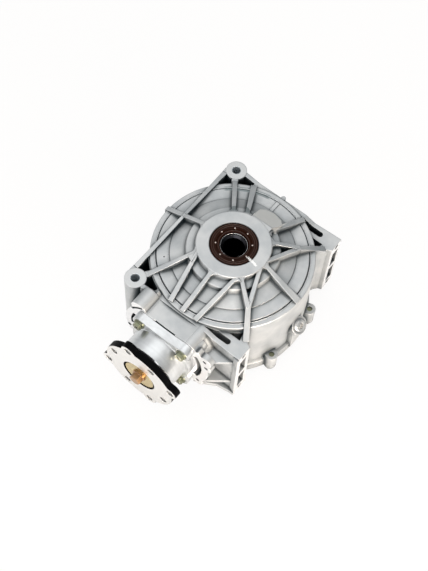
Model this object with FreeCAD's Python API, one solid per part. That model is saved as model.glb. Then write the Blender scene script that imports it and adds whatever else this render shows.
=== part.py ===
import FreeCAD, Part
import math
import os

Vector = FreeCAD.Vector

# Right-angle final drive gear case. Millimetres. The axle line is Z and the pinion line is -Y, and they cross
# at the origin. The ribbed side is +Z, the mounting blocks are on +X and the two lugs on -X.

# Overall sizes of the two case halves
hub_z = 83.3               # hub face on the ribbed side, above the pinion line
hub_r = 52.9
drum_r = 116.3
wall = 5.3
ring_back_z = -44.0        # back face of the ring gear
split_z = ring_back_z - 26.0       # parting plane of the halves
cover_hub_z = split_z - 16.5       # hub face on the cover, which the case rests on
gasket_t = 0.8
cover_flange_t = 7.5
flange_r = drum_r + 4.2    # split flange of both halves
flange_h = 9.0

# Stepped face between hub and rim
rim_z = hub_z - 27.4       # outer rim of the ribbed face
shelf_r = hub_r + 13.1
shelf_z = hub_z - 10.3
cone_top_z = hub_z - 18.5
ring_step_r = drum_r - 27.6
ring_step_z = rim_z + 3.0
annulus_z = rim_z + 1.5
groove_r = drum_r - 8.8
groove_w = 1.3
groove_d = 1.1

# Ribs
rib_w = 5.2
rib_draft = 0.035
rib_base_z = rim_z - 9.9
rib_top_z = hub_z - 0.2
rib_tip_z = rim_z + 0.6
rib_root_r = hub_r - 1.9
root_round = 6.0
flare_drop = 0.2
fan_slope = 0.52

# Lugs with a through bolt, on -X
lug_x = -(drum_r - 34.9)
lug_y = drum_r - 1.64
lug_r = 15.45
lug_top_z = rim_z - 1.4
lug_hole_r = 6.5

# Side mounting blocks on +X
block_x = drum_r - 13.0
block_y = drum_r + 3.7
block_w = 24.0
block_top_z = rim_z - 9.0
side_wall_y = drum_r + 2.3
side_wall_z = rim_z - 1.9
pocket_floor_z = split_z + 12.0
block_bolt_y = block_y - 11.0
block_bolt_z = (41.0, -61.0)
block_bolt_r = 4.25
block_bolt_depth = 22.0
window_w = 13.5
window_h = 36.0
window_z = (10.3, -34.7)
window_depth = 21.0
slot_w = 8.5
gusset_z = (27.0, -36.0)
gusset_t = 5.0
foot_t = 7.0

# Ribs that run from lug to lug across the rim, and the fork of the ribs that run to the blocks
chord_x = -(drum_r - 29.3)
chord_lug_x = lug_x - 10.6
chord_lug_w = 7.4
fork_x = block_x - 32.3
fork_y = block_y - 60.0
fork_z = hub_z - 13.3
fork_w = 7.0
fork_fill = 8.5

# Drain plug on a slanted boss at +X, filler plug on the +Y wall, breather at -X
plug_d = 14.0
plug_head_r = 8.6
plug_socket = 8.0
plug_spot_r = 12.2
drain_x = drum_r + 7.7
drain_z = -13.0
drain_tilt = 50.0
filler_x = 30.0
filler_y = drum_r + 4.7
filler_z = -18.0
vent_z = -24.0
vent_d = 8.0
vent_x = -(drum_r + 3.2)

# Cover bolts round the split flange
cover_bolt_count = 8
cover_bolt_pcr = drum_r + 6.2
cover_bolt_first = 22.5
cover_bolt_d = 8.0
tab_r = 9.0
tab_h = 23.3
bolt_gap = 0.1
dowel_r = 4.0
dowel_l = 16.0
dowel_angles = (0.0, 180.0)
dowel_pcr = drum_r - 2.9

# Bevel gear set: the cones meet at the origin
ring_teeth = 37
pinion_teeth = 11
ring_pitch_r = 84.0
pressure = math.radians(25.0)
addendum = 3.6
dedendum = 4.5
tooth_thinning = 0.30
face_share = 0.30          # face width as a share of the cone distance
ring_outer_r = ring_pitch_r + 2.4
ring_bore_r = 46.0
ring_bolt_count = 8
ring_bolt_pcr = 61.0
ring_bolt_d = 8.0

# Axle hub and its bearings
hub_seal_r = 20.0
hub_bearing_r = 22.5
hub_body_r = 27.0
hub_bore_r = 15.5
hub_mouth_r = 18.8
hub_end_z = hub_z - 4.3
hub_low_z = cover_hub_z + 4.0
spline_count = 16
spline_w = 1.35
spline_d = 1.6
spline_half = 62.0
seam_angle = 22.5          # keeps the round faces' seam off the plane of the shaft that goes in
carrier_t = 9.0
carrier_r = 70.0
axle_bearing_r = 37.5
axle_bearing_w = 16.0
upper_bearing_end = hub_z - 9.0
upper_bearing_in = upper_bearing_end - axle_bearing_w
lower_bearing_end = cover_hub_z + 12.2
lower_bearing_in = lower_bearing_end + axle_bearing_w
axle_seal_r = 34.0
axle_seal_w = 7.5
lower_seal_in = 2.4
shim_t = 1.0
seat_gap = 0.02
run_gap = 0.05
clear_gap = 0.4

# Pinion housing, retainer, flange: distances a are from the axle line, outwards along -Y
head_bearing_w = 17.0
head_bearing_a = ring_pitch_r + 7.0
case_face_a = drum_r + 30.7
case_web_a = head_bearing_a - 1.5
nozzle_r = 50.0
nozzle_root_a = drum_r - 56.0
bolt_x = 0.73 * nozzle_r
bolt_z = 0.806 * nozzle_r
bolt_lobe_r = 13.0
spigot_r = nozzle_r - 4.5
spigot_in_a = head_bearing_a + head_bearing_w + 5.0
retainer_gasket_t = 0.5
retainer_flange_t = 12.5
nose_r = nozzle_r - 6.7
nose_end_a = case_face_a + 43.0
retainer_bolt_d = 8.0
retainer_bolt_grip = 18.0
pad_r = nozzle_r + 16.0
band_in_r = nozzle_r + 11.0
band_out_r = nozzle_r + 23.0
band_t = 9.0
pad_root = 39.0
pad_hole_r = 3.1
pad_ears = ((73.8, 26.6, 11.0), (71.1, 13.8, 8.5), (69.4, -36.2, 10.5))
pad_scale = nozzle_r / 50.0
left_hole = (69.9, 196.6)
shoulder_lobe = (43.0, 36.5, 12.3)
tall_lobe = (-48.5, 50.0, 13.0)
pry_slot_w = 1.5
pry_slot_d = 2.6
flange_face_a = case_face_a + 59.4
flange_t = 10.5
outer_hole_pcr = 57.1
inner_hole_pcr = outer_hole_pcr - 9.1
outer_hole_angle = 18.2
inner_hole_angle = outer_hole_angle + 45.0
flange_hole_r = 5.5
flange_round_r = outer_hole_pcr + 0.4
flange_lobe_r = flange_hole_r + 6.0
flange_lobe_pcr = outer_hole_pcr - 1.6
flange_notch_r = 4.0
recess_r = 27.25
recess_d = 4.0
sleeve_r = 24.0
sleeve_in_a = flange_face_a - 36.2
shaft_r = 17.5
shaft_tip_r = 15.0
pinion_bearing_a = case_face_a - 5.0
pinion_bearing_w = 27.0
pinion_bearing_r = 36.0
pinion_seal_r = 35.0
pinion_seal_w = 9.0
washer_r = recess_r - 2.85
washer_t = 3.0
flange_bolt_af = 15.0
flange_bolt_head = 11.0
flange_bolt_d = 10.0
flange_bolt_l = 30.0


def disc(r, z0, z1, x=0.0, y=0.0):
    return Part.makeCylinder(r, z1 - z0, Vector(x, y, z0))


def tube(r_in, r_out, z0, z1):
    return disc(r_out, z0, z1).cut(disc(r_in, z0 - 1, z1 + 1))


def box(x0, x1, y0, y1, z0, z1):
    return Part.makeBox(x1 - x0, y1 - y0, z1 - z0, Vector(x0, y0, z0))


def prism(points, z0, z1):
    """Upright prism over a plan outline."""
    loop = [Vector(x, y, z0) for x, y in points]
    return Part.Face(Part.makePolygon(loop + loop[:1])).extrude(Vector(0, 0, z1 - z0))


def turned(profile):
    """Solid of revolution about Z from (radius, height) points."""
    loop = [Vector(r, 0, z) for r, z in profile]
    return Part.Face(Part.makePolygon(loop + loop[:1])).revolve(Vector(0, 0, 0), Vector(0, 0, 1), 360)


def turn(shape, degrees):
    return shape.rotated(Vector(0, 0, 0), Vector(0, 0, 1), degrees)


def ring_of(shape, count, first=0.0):
    return [turn(shape, first + 360.0 * k / count) for k in range(count)]


def to_pinion(shape):
    """Swings a shape built along +Z onto the pinion line: height becomes -Y and plan Y becomes Z."""
    return shape.rotated(Vector(0, 0, 0), Vector(1, 0, 0), 90)


def polar(r, degrees):
    return (r * math.cos(math.radians(degrees)), r * math.sin(math.radians(degrees)))


def hex_prism(across, z0, z1, x=0.0, y=0.0):
    corner = across / math.sqrt(3)
    points = [(x + corner * math.cos(k * math.pi / 3), y + corner * math.sin(k * math.pi / 3)) for k in range(6)]
    return prism(points, z0, z1)


def join(shapes):
    solid = shapes[0].fuse(shapes[1:])
    return solid.removeSplitter()


def save(name, shape):
    solids = shape if isinstance(shape, list) else [shape]
    whole = solids[0] if len(solids) == 1 else Part.makeCompound(solids)
    whole.exportStep("parts/" + name + ".step")


def plate(corners, base):
    """Upright prism whose corners each have their own height, on one plane."""
    low = [Vector(x, y, base) for x, y, z in corners]
    high = [Vector(x, y, z) for x, y, z in corners]
    count = len(corners)
    loops = [low, high]
    for k in range(count):
        j = (k + 1) % count
        loops.append([low[k], low[j], high[j], high[k]])
    return closed(loops)


def closed(loops):
    """Solid inside flat faces, each given by its corners."""
    solid = Part.Solid(Part.Shell([Part.Face(Part.makePolygon(loop + loop[:1])) for loop in loops]))
    if solid.Volume < 0:
        solid.reverse()
    return solid


def rib(start, end, top_start, top_end, base=rib_base_z, width=rib_w, end_width=0.0):
    """Drafted rib between two plan points; its top runs straight from one height to the other."""
    (x0, y0), (x1, y1) = start, end
    length = math.hypot(x1 - x0, y1 - y0)
    ux, uy = (x1 - x0) / length, (y1 - y0) / length

    def section(x, y, top, across):
        low = across / 2 + rib_draft * (top_start - base)
        high = across / 2 + rib_draft * (top_start - top)
        corners = ((-low, base), (low, base), (high, top), (-high, top))
        return [Vector(x - uy * s, y + ux * s, z) for s, z in corners]

    a = section(x0, y0, top_start, width)
    b = section(x1, y1, top_end, end_width or width)
    return closed([a[::-1], b] + [[a[k], a[(k + 1) % 4], b[(k + 1) % 4], b[k]] for k in range(4)])


# Ribbed case half

def rim_slope(x, y):
    """Height of a rib's top over a plan point: level with the hub face, then falling to the rim."""
    share = (math.hypot(x, y) - hub_r) / (drum_r - hub_r)
    return rib_top_z - max(share, 0.0) * (rib_top_z - rib_tip_z)


def root_flares(start, end, top_end):
    """Rounded corners on both sides of a rib where it leaves the hub."""
    (x0, y0), (x1, y1) = start, end
    length = math.hypot(x1 - x0, y1 - y0)
    ux, uy = (x1 - x0) / length, (y1 - y0) / length
    wall_at = hub_r - rib_root_r
    bow = root_round * (1 - math.sqrt(0.5))
    half = rib_w / 2
    pieces = []
    for side in (1, -1):
        plan = [(0, 0), (wall_at + root_round, half - 0.3), (wall_at + bow, half + bow),
                (wall_at / 2, half + root_round)]
        points = []
        for along, off in plan:
            height = rib_top_z - flare_drop + (top_end - rib_top_z) * along / length
            points.append((x0 + ux * along - uy * off * side, y0 + uy * along + ux * off * side, height))
        pieces.append(plate([points[0], points[1], points[2]], rib_base_z))
        pieces.append(plate([points[0], points[2], points[3]], rib_base_z))
    return pieces


def face_ribs():
    """Ribs from hub to rim: angle at the hub, radius and angle at the end, end width, rounded root."""
    lines = [
        (180.0, drum_r + 2.9, 180.0, rib_w, True), (1.7, drum_r - 0.8, -1.5, 8.5, True),
        (62.4, drum_r + 2.5, 67.8, 6.2, True), (106.5, drum_r + 1.6, 112.4, 6.8, True),
        (128.0, drum_r + 6.1, 126.0, rib_w, True), (-128.7, drum_r + 6.1, -126.0, rib_w, True),
        (-127.5, drum_r - 1.4, -100.5, rib_w, False), (-87.2, drum_r - 1.3, -89.5, rib_w, True),
        (-47.7, drum_r, -78.7, rib_w, True),
    ]
    pieces = []
    for hub_angle, end_r, end_angle, end_width, rounded in lines:
        start, end = polar(rib_root_r, hub_angle), polar(end_r, end_angle)
        pieces.append(rib(start, end, rim_slope(*start), rim_slope(*end), end_width=end_width))
        if rounded:
            pieces += root_flares(start, end, rim_slope(*end))
    # Web in the fork of the two ribs that leave the hub together
    fork = [polar(rib_root_r, -128.0), polar(hub_r + 12.5, -127.0), polar(hub_r + 11.0, -117.5)]
    pieces.append(plate([(x, y, rim_slope(x, y) - flare_drop) for x, y in fork], rib_base_z))
    return pieces


def chord_ribs():
    """Two ribs in line that join the lugs across the rim and cross the -X rib."""
    pieces = []
    mid_z = rim_slope(chord_x, 0)
    for side in (1, -1):
        start = (chord_lug_x, (lug_y - 14) * side)
        pieces.append(rib(start, (chord_x, -2 * side), lug_top_z + 0.4, mid_z, width=chord_lug_w,
                          end_width=rib_w))
    return pieces


def block_ribs():
    """Two ribs that meet in one solid web on their way from the hub to each mounting block."""
    pieces = []
    for side in (1, -1):
        fork = (fork_x, fork_y * side)
        near = []
        for angle, rounded in ((41.9, True), (7.7, False)):
            start = polar(rib_root_r, angle * side)
            pieces.append(rib(start, fork, rib_top_z, fork_z))
            if rounded:
                pieces += root_flares(start, fork, fork_z)
            back = fork_fill / math.hypot(fork[0] - start[0], fork[1] - start[1])
            x, y = [fork[k] + (start[k] - fork[k]) * back for k in (0, 1)]
            near.append((x, y, fork_z + 2.6))
        pieces.append(plate([near[0], near[1], (fork[0], fork[1], fork_z)], rib_base_z))
        tip = (block_x - 9.3, (block_y - 27.5) * side)
        pieces.append(rib(fork, tip, fork_z, block_top_z + 0.4, width=fork_w))
    return pieces


def drum():
    g = groove_w / 2
    return turned([
        (0, split_z), (flange_r, split_z), (flange_r, split_z + flange_h), (drum_r, split_z + flange_h + 3),
        (drum_r, rim_z - 1), (drum_r - 1, rim_z),
        (groove_r + g, rim_z), (groove_r, rim_z - groove_d), (groove_r - g, rim_z),
        (groove_r - g, annulus_z - 0.6), (groove_r - g - 0.6, annulus_z),
        (ring_step_r, annulus_z), (ring_step_r - 0.5, ring_step_z),
        (shelf_r + 1.6, cone_top_z), (shelf_r, shelf_z - 1), (shelf_r - 1, shelf_z),
        (hub_r + 1.6, shelf_z + 1.4), (hub_r, hub_z - 1), (hub_r - 1, hub_z), (0, hub_z)])


def corner_body(side):
    """Lug column, straight side wall and mounting block on one side of the drum."""
    plan = [
        (lug_x - 13.1, lug_y - 49), (lug_x - 15, lug_y - 6.7), (lug_x - 10.6, lug_y + 7.3),
        (lug_x + 15.4, side_wall_y + 2.6), (lug_x + 41.4, side_wall_y), (block_x - 43.3, side_wall_y),
        (block_x, block_y), (block_x, block_y - block_w), (block_x - 5.8, block_y - block_w - 2.5),
        (block_x - 10.3, block_y - block_w - 8), (block_x - 14.8, block_y - block_w - 19),
        (block_x - 33, block_y / 2), (lug_x + 21, block_y / 2)]
    tall = prism([(x, y * side) for x, y in plan], split_z, side_wall_z + 1)
    left, right = lug_x - 30, block_x + 30
    side_view = [
        (left, split_z), (left, side_wall_z), (lug_x + 15.4, side_wall_z), (block_x - 61.3, side_wall_z - 1.6),
        (block_x - 45.3, block_top_z), (right, block_top_z), (right, split_z)]
    loop = [Vector(px, -2 * drum_r, pz) for px, pz in side_view]
    slab = Part.Face(Part.makePolygon(loop + loop[:1])).extrude(Vector(0, 4 * drum_r, 0))
    body = tall.common(slab)
    return body.fuse(disc(lug_r, split_z, lug_top_z, lug_x, lug_y * side))


def lug_pockets(side):
    """Cored pockets beside a lug, left open towards the ribbed side."""
    plan = [(lug_x - 6.8, lug_y - 34.7), (lug_x - 6.8, lug_y - 2.7), (lug_x + 17.4, lug_y),
            (lug_x + 34.4, lug_y - 1.4), (lug_x + 34.4, lug_y - 24.7)]
    inside = prism([(x, y * side) for x, y in plan], pocket_floor_z, hub_z)
    wall_rib = rib((-30, 38 * side), (lug_x - 2.6, (lug_y + 1.3) * side), hub_z, hub_z, pocket_floor_z - 2, 7.0)
    keep = [disc(drum_r + 1.2, pocket_floor_z - 1, hub_z + 1),
            disc(lug_r + 0.6, pocket_floor_z - 1, hub_z + 1, lug_x, lug_y * side), wall_rib]
    return inside.cut(keep)


def block_pockets(side):
    """Slot and triangular pocket in the top of a mounting block, with its front windows and bolt holes."""
    slot_lo = block_y - 16.5
    slot_end = block_x - 28.8
    keep = disc(drum_r + 1.4, pocket_floor_z - 1, hub_z + 1)
    near, far = slot_lo * side, (slot_lo + slot_w) * side
    slot = prism([(slot_end - 44.5, near), (slot_end, near), (slot_end, far), (slot_end - 44.5, far)],
                 pocket_floor_z, hub_z)
    slot = slot.fuse(disc(slot_w / 2, pocket_floor_z, hub_z, slot_end, (near + far) / 2))
    corners = [(block_x - 37.3, block_y - 23.5), (block_x - 16.8, block_y - 23.5), (block_x - 20.8, block_y - 38),
               (block_x - 37.3, block_y - 38)]
    three = prism([(x, y * side) for x, y in corners], pocket_floor_z + 18, hub_z)
    cuts = [slot.cut(keep), three.cut(keep)]
    mid = block_bolt_y * side
    for z in window_z:
        cuts.append(box(block_x - window_depth, block_x + 1, mid - window_w / 2, mid + window_w / 2,
                        z - window_h / 2, z + window_h / 2))
    for z in block_bolt_z:
        hole = Part.makeCylinder(block_bolt_r, block_bolt_depth + 1, Vector(block_x - block_bolt_depth, mid, z),
                                 Vector(1, 0, 0))
        cuts.append(hole)
    return cuts


def sector(r_in, r_out, from_deg, to_deg, h0, h1):
    """Part of a ring, with round inner and outer walls."""
    def arc(r, a, b):
        points = [Vector(*polar(r, t), h0) for t in (a, (a + b) / 2, b)]
        return Part.Arc(*points).toShape(), points[0], points[2]
    outer, o0, o1 = arc(r_out, from_deg, to_deg)
    inner, i0, i1 = arc(r_in, from_deg, to_deg)
    wire = Part.Wire([outer, Part.makeLine(o1, i1), inner, Part.makeLine(i0, o0)])
    return Part.Face(wire).extrude(Vector(0, 0, h1 - h0))


def lobe_bridge(lobe_r, round_r, h0, h1):
    """Shallow hollows from lobe to lobe over the top and under the bottom of a round outline."""
    high, low, x = bolt_z + lobe_r - 0.4, round_r + 0.05, 0.9 * bolt_x
    corners = [Vector(-x, high, h0), Vector(x, high, h0), Vector(x, -high, h0), Vector(-x, -high, h0)]
    edges = [Part.Arc(corners[0], Vector(0, low, h0), corners[1]).toShape(), Part.makeLine(corners[1], corners[2]),
             Part.Arc(corners[2], Vector(0, -low, h0), corners[3]).toShape(), Part.makeLine(corners[3], corners[0])]
    return Part.Face(Part.Wire(edges)).extrude(Vector(0, 0, h1 - h0))


def nozzle_outer():
    """Pinion housing with its bolt lobes and the machined side pads, built along +Z and swung to -Y."""
    a0, a1 = nozzle_root_a, case_face_a
    parts = [disc(nozzle_r, a0, a1), lobe_bridge(bolt_lobe_r, nozzle_r, a0, a1)]
    for x, y in retainer_bolt_places():
        parts.append(disc(bolt_lobe_r, a0 + 20, a1, x, y))
    # Right-hand pad with three lobes, and the left-hand one with its tall lobe
    parts.append(sector(0.8 * nozzle_r, pad_r, -44, 44, a1 - pad_root, a1))
    parts.append(sector(band_in_r, band_out_r, -42, 42, a1 - band_t, a1))
    for reach, angle, r in pad_ears:
        parts.append(disc(r, a1 - band_t, a1, *polar(reach * pad_scale, angle)))
    x, y, r = [size * pad_scale for size in shoulder_lobe]
    parts.append(disc(r, a1 - pad_root / 2, a1, x, y))
    parts.append(sector(0.8 * nozzle_r, band_out_r, 124, 206, a1 - pad_root + 4, a1))
    x, y, r = [size * pad_scale for size in tall_lobe]
    parts.append(disc(r, a1 - pad_root + 10, a1, x, y))
    return to_pinion(join(parts))


def nozzle_cuts():
    a1 = case_face_a
    cuts = [sector(nozzle_r + 4.5, band_in_r + 1, -29, 31, a1 - 22, a1 + 1),
            sector(nozzle_r + 8, nozzle_r + 13.5, 156, 186, a1 - 22, a1 + 1),
            sector(band_out_r - 3, band_out_r + 0.5, 126, 148, a1 - 12, a1 + 1)]
    for reach, angle in [ear[:2] for ear in pad_ears] + [left_hole]:
        cuts.append(disc(pad_hole_r, a1 - 12, a1 + 1, *polar(reach * pad_scale, angle)))
    for x, y in retainer_bolt_places():
        cuts.append(disc(retainer_bolt_d / 2 + bolt_gap, a1 - retainer_bolt_grip - 2, a1 + 1, x, y))
    cuts.append(box(-0.6 * bolt_x, 0.4 * bolt_x, nozzle_r - pry_slot_d, nozzle_r + 1, a1 - pry_slot_w, a1 + 1))
    return [to_pinion(c) for c in cuts]


def gusset_webs():
    """Two level gussets and the foot plate between the pinion housing and the near mounting block."""
    webs = []
    inner, outer, edge = nozzle_r + 2, block_x - 8.3, block_y - 6
    for z in gusset_z:
        plan = [(inner, -(edge - 2)), (inner, -(case_face_a - 6)), (inner + 14, -(case_face_a - 3.5)),
                (outer, -(block_y + 0.5)), (outer, -edge)]
        webs.append(prism(plan, z - gusset_t, z))
    foot = [(inner - 12, -(edge - 4)), (inner - 6, -(case_face_a - 5)), (inner + 8, -(case_face_a - 10)),
            (inner + 25, -(block_y + 7.5)), (outer + 1, -(block_y + 4.5)), (block_x, -(block_y + 4)),
            (block_x, -(edge - 2))]
    webs.append(prism(foot, split_z, split_z + foot_t))
    end = [(outer, -(block_y - 2)), (outer, -(block_y + 1)), (block_x, -(block_y + 3.5)), (block_x, -(block_y - 2))]
    webs.append(prism(end, split_z, block_top_z - 2))
    return webs


def at_drain(shape):
    """Swings a shape built along +Z onto the slanted line of the drain plug."""
    return shape.rotated(Vector(0, 0, 0), Vector(0, 1, 0), drain_tilt).translated(Vector(drain_x, 0, drain_z))


def at_filler(shape):
    turned_out = shape.rotated(Vector(0, 0, 0), Vector(1, 0, 0), -90)
    return turned_out.translated(Vector(filler_x, filler_y, filler_z))


def at_vent(shape):
    turned_out = shape.rotated(Vector(0, 0, 0), Vector(0, 1, 0), -90)
    return turned_out.translated(Vector(vent_x, 0, vent_z))


def plug_bosses():
    """Drain boss on its column, filler boss and breather boss."""
    foot, back = drain_x - 1.5, drum_r - 11.3
    column = prism([(back, -13.5), (foot, -11), (foot, 11), (back, 13.5)], split_z, drain_z - 8)
    return [at_drain(disc(14.0, -16, 0)), column, at_filler(disc(13.5, -12, 0)), at_vent(disc(8.5, -8, 0))]


def plug_holes():
    hole = disc(plug_d / 2 + bolt_gap, -30, 1)
    spot = disc(plug_spot_r, 0, 12)
    return [at_drain(hole), at_drain(spot), at_filler(hole), at_filler(spot),
            at_vent(disc(vent_d / 2 + bolt_gap, -14, 1))]


def case_cavity():
    inner = drum_r - wall
    boss_low = upper_bearing_in - 2.3
    return turned([
        (0, split_z - 5), (inner, split_z - 5), (inner, rim_z - wall - 2.5), (inner - 3, rim_z - wall),
        (ring_step_r, annulus_z - wall), (shelf_r + 1, cone_top_z - wall - 2), (shelf_r - 4, cone_top_z - wall - 1.5),
        (shelf_r - 4, shelf_z - wall + 0.3), (axle_bearing_r + 11.5, shelf_z - wall + 0.3),
        (axle_bearing_r + 10, boss_low), (0, boss_low)])


def main_case():
    body = join([drum()] + face_ribs() + block_ribs() + chord_ribs() + [corner_body(1), corner_body(-1)]
                + [nozzle_outer()] + gusset_webs() + plug_bosses() + case_details())
    bearing_boss = disc(pinion_bearing_r + 7, case_web_a, spigot_in_a)
    collar = disc(spigot_r + 3, spigot_in_a - 6, case_face_a - 20)
    inner_nozzle = to_pinion(bearing_boss.fuse(collar))
    body = body.cut([case_cavity()])
    body = join([body, inner_nozzle])
    cuts = [
        disc(axle_bearing_r, upper_bearing_in - 8, upper_bearing_end),
        disc(axle_seal_r, upper_bearing_end - 1, hub_z + 1),
        turned([(axle_seal_r - 1, hub_z - 1), (axle_seal_r, hub_z - 1), (axle_seal_r + 1.1, hub_z + 0.1),
                (axle_seal_r - 1, hub_z + 0.1)]),
        to_pinion(disc(pinion_bearing_r, case_web_a - 20, spigot_in_a + 2)),
        to_pinion(disc(spigot_r + seat_gap, spigot_in_a - 0.5, case_face_a + 1)),
    ]
    cuts += [lug_pockets(1), lug_pockets(-1)]
    cuts += block_pockets(1) + block_pockets(-1) + nozzle_cuts()
    for side in (1, -1):
        cuts.append(disc(lug_hole_r, split_z - 1, lug_top_z + 1, lug_x, lug_y * side))
    cuts += cover_bolt_holes(split_z - 1, split_z + tab_h + 1)
    cuts += dowel_holes(split_z - 1, split_z + dowel_l / 2)
    return body.cut(cuts + plug_holes())


def fan_height(y):
    return rib_top_z - fan_slope * max(y - hub_r, 0.0)


def case_details():
    """Sloped oil passage pad, low strip and the small nub on the far wall, with the flange's bolt tabs."""
    plan = [(-8, hub_r), (-9.5, hub_r + 8), (-8.5, hub_r + 20), (-3, hub_r + 27), (10, hub_r + 30), (24, hub_r + 26),
            (32, hub_r + 17), (26, hub_r)]
    fan = plate([(x, y, fan_height(y)) for x, y in plan], rib_base_z)
    root = prism([(-9, hub_r - 12), (-8, hub_r), (26, hub_r), (26, hub_r - 12)], rib_base_z, rib_top_z)
    strip = box(-2.6, 2.6, ring_step_r - 0.5, groove_r - 1, annulus_z - 5, annulus_z + 0.8)
    nub = disc(3.6, 20, side_wall_z - 0.5, 0, side_wall_y + 1.2)
    return [fan, root, strip, nub] + bolt_tabs(split_z, split_z + tab_h)


def bolt_tabs(z0, z1):
    tabs = []
    neck = box(drum_r - 16, cover_bolt_pcr, -tab_r, tab_r, z0, z1)
    tab = disc(tab_r, z0, z1, cover_bolt_pcr, 0).fuse(neck)
    for piece in ring_of(tab, cover_bolt_count, cover_bolt_first):
        tabs.append(piece)
    return tabs


def cover_bolt_holes(z0, z1):
    hole = disc(cover_bolt_d / 2 + bolt_gap, z0, z1, cover_bolt_pcr, 0)
    return ring_of(hole, cover_bolt_count, cover_bolt_first)


def dowel_holes(z0, z1):
    return [turn(disc(dowel_r + seat_gap, z0, z1, dowel_pcr, 0), a) for a in dowel_angles]


# Plain cover half

def side_cover():
    top = split_z - gasket_t
    low = top - cover_flange_t
    boss_r = axle_bearing_r + 8
    body = turned([
        (0, top), (flange_r, top), (flange_r, low), (drum_r - 8, low), (drum_r - 10, low + 2), (hub_r + 3, low + 1),
        (hub_r, low - 1), (hub_r, cover_hub_z + 1), (hub_r - 1, cover_hub_z), (0, cover_hub_z)])
    # The spokes are built upside down and then turned over
    spoke = rib((hub_r - 3, 0), (drum_r - 4, 0), -cover_hub_z - 1.5, -low + 1.0, 2.0 - top)
    spoke = spoke.rotated(Vector(0, 0, 0), Vector(1, 0, 0), 180)
    boss = disc(boss_r, top - 1, lower_bearing_in + 0.3)
    body = join([body, boss] + ring_of(spoke, cover_bolt_count, cover_bolt_first) + bolt_tabs(low, top))
    dish = tube(boss_r + 4, drum_r - wall, top - 2.6, top + 1)
    cuts = [dish, disc(axle_bearing_r, lower_bearing_end, lower_bearing_in + 1),
            disc(axle_seal_r, cover_hub_z - 1, lower_bearing_end + 1)]
    cuts += cover_bolt_holes(low - 1, top + 1) + dowel_holes(top - dowel_l / 2 + gasket_t, top + 1)
    return body.cut(cuts)


def cover_gasket():
    body = tube(drum_r - wall, flange_r, split_z - gasket_t, split_z)
    body = join([body] + bolt_tabs(split_z - gasket_t, split_z))
    cuts = cover_bolt_holes(split_z - 2, split_z + 1) + dowel_holes(split_z - 2, split_z + 1)
    return body.cut(cuts + [disc(drum_r - wall, split_z - 2, split_z + 1)])


def flange_head(d, under, up=1):
    """Hexagon head with a round flange, seated at height under and standing away from it."""
    washer = disc(d * 1.06, 0, d * 0.2)
    hexagon = hex_prism(d * 1.5, d * 0.2, d * 0.85)
    head = washer.fuse(hexagon)
    if up < 0:
        head = head.rotated(Vector(0, 0, 0), Vector(1, 0, 0), 180)
    return head.translated(Vector(0, 0, under))


def cover_bolts():
    low = split_z - gasket_t - cover_flange_t
    bolt = flange_head(cover_bolt_d, low, -1).fuse(disc(cover_bolt_d / 2, low - 1, split_z + tab_h - 2.5))
    bolt = bolt.translated(Vector(cover_bolt_pcr, 0, 0))
    return ring_of(bolt, cover_bolt_count, cover_bolt_first)


def cover_dowels():
    pin = disc(dowel_r, split_z - dowel_l / 2 + 0.2, split_z + dowel_l / 2 - 0.2, dowel_pcr, 0)
    return [turn(pin, a) for a in dowel_angles]


# Bevel gears

cone = math.hypot(ring_pitch_r, ring_pitch_r * pinion_teeth / ring_teeth)
pinion_pitch_r = ring_pitch_r * pinion_teeth / ring_teeth
ring_angle = math.atan2(ring_pitch_r, pinion_pitch_r)
pinion_angle = math.pi / 2 - ring_angle


def flank(virtual_r, r):
    """Half the tooth's angle at radius r on the unrolled back cone, with an involute above the base circle."""
    base = virtual_r * math.cos(pressure)
    half = (math.pi * ring_pitch_r / ring_teeth - tooth_thinning) / (2 * virtual_r)
    at_pitch = math.tan(pressure) - pressure
    if r <= base:
        return half + at_pitch
    slope = math.acos(base / r)
    return half + at_pitch - (math.tan(slope) - slope)


def tooth_wire(pitch_angle, top, root, scale):
    """Closed outline of one tooth on the back cone, centred on +X; the axis is +Z and the apex the origin."""
    virtual_r = cone * math.tan(pitch_angle)
    apex = cone / math.cos(pitch_angle)
    radii = [virtual_r - root, virtual_r - 0.45 * root, virtual_r, virtual_r + 0.5 * top, virtual_r + top]
    side = [(r, flank(virtual_r, r)) for r in radii]
    outline = [(r, -t) for r, t in side] + [(r, t) for r, t in reversed(side)]
    points = []
    for r, t in outline:
        spin = t / math.cos(pitch_angle)
        radius = r * math.cos(pitch_angle) * scale
        height = (apex - r * math.sin(pitch_angle)) * scale
        points.append(Vector(radius * math.cos(spin), radius * math.sin(spin), height))
    return points


def cone_point(pitch_angle, depth, scale):
    """Radius and height of a point at a depth below the pitch line, on the back cone."""
    r = cone * math.tan(pitch_angle) - depth
    return (r * math.cos(pitch_angle) * scale, (cone / math.cos(pitch_angle) - r * math.sin(pitch_angle)) * scale)


def tooth_solid(pitch_angle):
    """One straight bevel tooth; every edge runs to the common apex."""
    sunk = 0.6
    outer = tooth_wire(pitch_angle, addendum, dedendum + sunk, 1.0)
    inner = tooth_wire(pitch_angle, addendum, dedendum + sunk, 1.0 - face_share)
    count = len(outer)
    faces = []
    for k in range(count):
        j = (k + 1) % count
        quad = [outer[k], outer[j], inner[j], inner[k]]
        faces.append(Part.Face(Part.makePolygon(quad + quad[:1])))
    half = count // 2
    for loop in (outer, inner):
        for k in range(half - 1):
            quad = [loop[k], loop[k + 1], loop[count - 2 - k], loop[count - 1 - k]]
            faces.append(Part.Face(Part.makePolygon(quad + quad[:1])))
    solid = Part.Solid(Part.Shell(faces))
    if solid.Volume < 0:
        solid.reverse()
    return solid


def gear_teeth(pitch_angle, count, first):
    tooth = tooth_solid(pitch_angle)
    return [turn(tooth, math.degrees(first) + 360.0 * k / count) for k in range(count)]


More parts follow.
